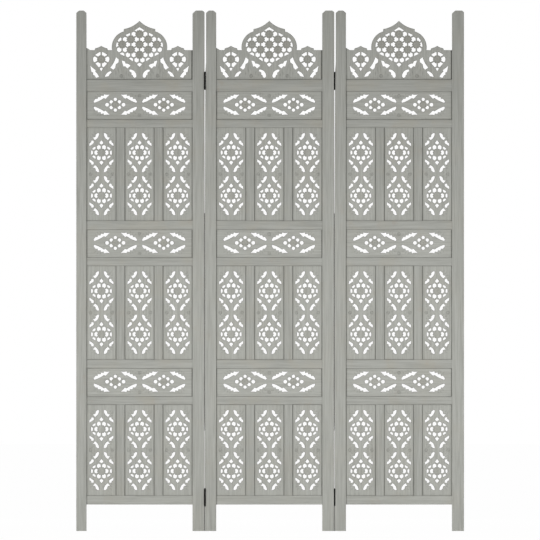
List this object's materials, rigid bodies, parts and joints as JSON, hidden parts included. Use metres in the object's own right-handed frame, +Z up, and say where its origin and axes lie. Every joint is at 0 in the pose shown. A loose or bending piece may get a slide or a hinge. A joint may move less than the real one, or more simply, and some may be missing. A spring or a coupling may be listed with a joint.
{
  "type": "folding room divider",
  "caption": "Folding room divider of grey-washed wood: framed wings with fretted floral boards, a domed crest between tall posts, and black butt hinges.",
  "frame": {"origin": "bottom centre of the screen, standing flat on the floor", "axes": "+X along the screen to the right as seen from the front, +Y from the front to the back, +Z up"},
  "size_m": [1.229, 0.0374, 1.65],
  "materials": {
    "frame_wood": "grey-washed, matt, slightly worn",
    "fretted_board": "grey-washed, matt, darker in the cuts",
    "black_iron": "black, satin"
  },
  "bodies": {
    "left_wing": {"left_wing_left_post": "frame_wood", "left_wing_right_post": "frame_wood", "left_wing_crest_board": "fretted_board", "left_wing_crest_rail": "frame_wood", "left_wing_mullions": "frame_wood", "left_wing_upper_band": "fretted_board", "left_wing_upper_band_rail": "frame_wood", "left_wing_upper_panels": "fretted_board", "left_wing_upper_sill_rail": "frame_wood", "left_wing_middle_band": "fretted_board", "left_wing_middle_band_rail": "frame_wood", "left_wing_middle_panels": "fretted_board", "left_wing_middle_sill_rail": "frame_wood", "left_wing_lower_band": "fretted_board", "left_wing_lower_band_rail": "frame_wood", "left_wing_lower_panels": "fretted_board", "left_wing_lower_sill_rail": "frame_wood", "left_wing_hinge_leaves": "black_iron", "left_wing_hinge_screws": "black_iron", "front_hinge_pins": "black_iron"},
    "centre_wing": {"centre_wing_left_post": "frame_wood", "centre_wing_right_post": "frame_wood", "centre_wing_crest_board": "fretted_board", "centre_wing_crest_rail": "frame_wood", "centre_wing_mullions": "frame_wood", "centre_wing_upper_band": "fretted_board", "centre_wing_upper_band_rail": "frame_wood", "centre_wing_upper_panels": "fretted_board", "centre_wing_upper_sill_rail": "frame_wood", "centre_wing_middle_band": "fretted_board", "centre_wing_middle_band_rail": "frame_wood", "centre_wing_middle_panels": "fretted_board", "centre_wing_middle_sill_rail": "frame_wood", "centre_wing_lower_band": "fretted_board", "centre_wing_lower_band_rail": "frame_wood", "centre_wing_lower_panels": "fretted_board", "centre_wing_lower_sill_rail": "frame_wood", "centre_wing_front_hinge_leaves": "black_iron", "centre_wing_back_hinge_leaves": "black_iron", "centre_wing_hinge_screws": "black_iron"},
    "right_wing": {"right_wing_left_post": "frame_wood", "right_wing_right_post": "frame_wood", "right_wing_crest_board": "fretted_board", "right_wing_crest_rail": "frame_wood", "right_wing_mullions": "frame_wood", "right_wing_upper_band": "fretted_board", "right_wing_upper_band_rail": "frame_wood", "right_wing_upper_panels": "fretted_board", "right_wing_upper_sill_rail": "frame_wood", "right_wing_middle_band": "fretted_board", "right_wing_middle_band_rail": "frame_wood", "right_wing_middle_panels": "fretted_board", "right_wing_middle_sill_rail": "frame_wood", "right_wing_lower_band": "fretted_board", "right_wing_lower_band_rail": "frame_wood", "right_wing_lower_panels": "fretted_board", "right_wing_lower_sill_rail": "frame_wood", "right_wing_hinge_leaves": "black_iron", "right_wing_hinge_screws": "black_iron", "back_hinge_pins": "black_iron"}
  },
  "joints": [
    {"name": "left_fold", "type": "hinge", "parent": "centre_wing", "child": "left_wing", "pos_m": [-0.20685, -0.0158, 0.107], "axis": [0, 0, 1], "range_deg": [0, 180]},
    {"name": "right_fold", "type": "hinge", "parent": "centre_wing", "child": "right_wing", "pos_m": [0.20445, 0.0158, 0.107], "axis": [0, 0, 1], "range_deg": [0, 180]}
  ]
}
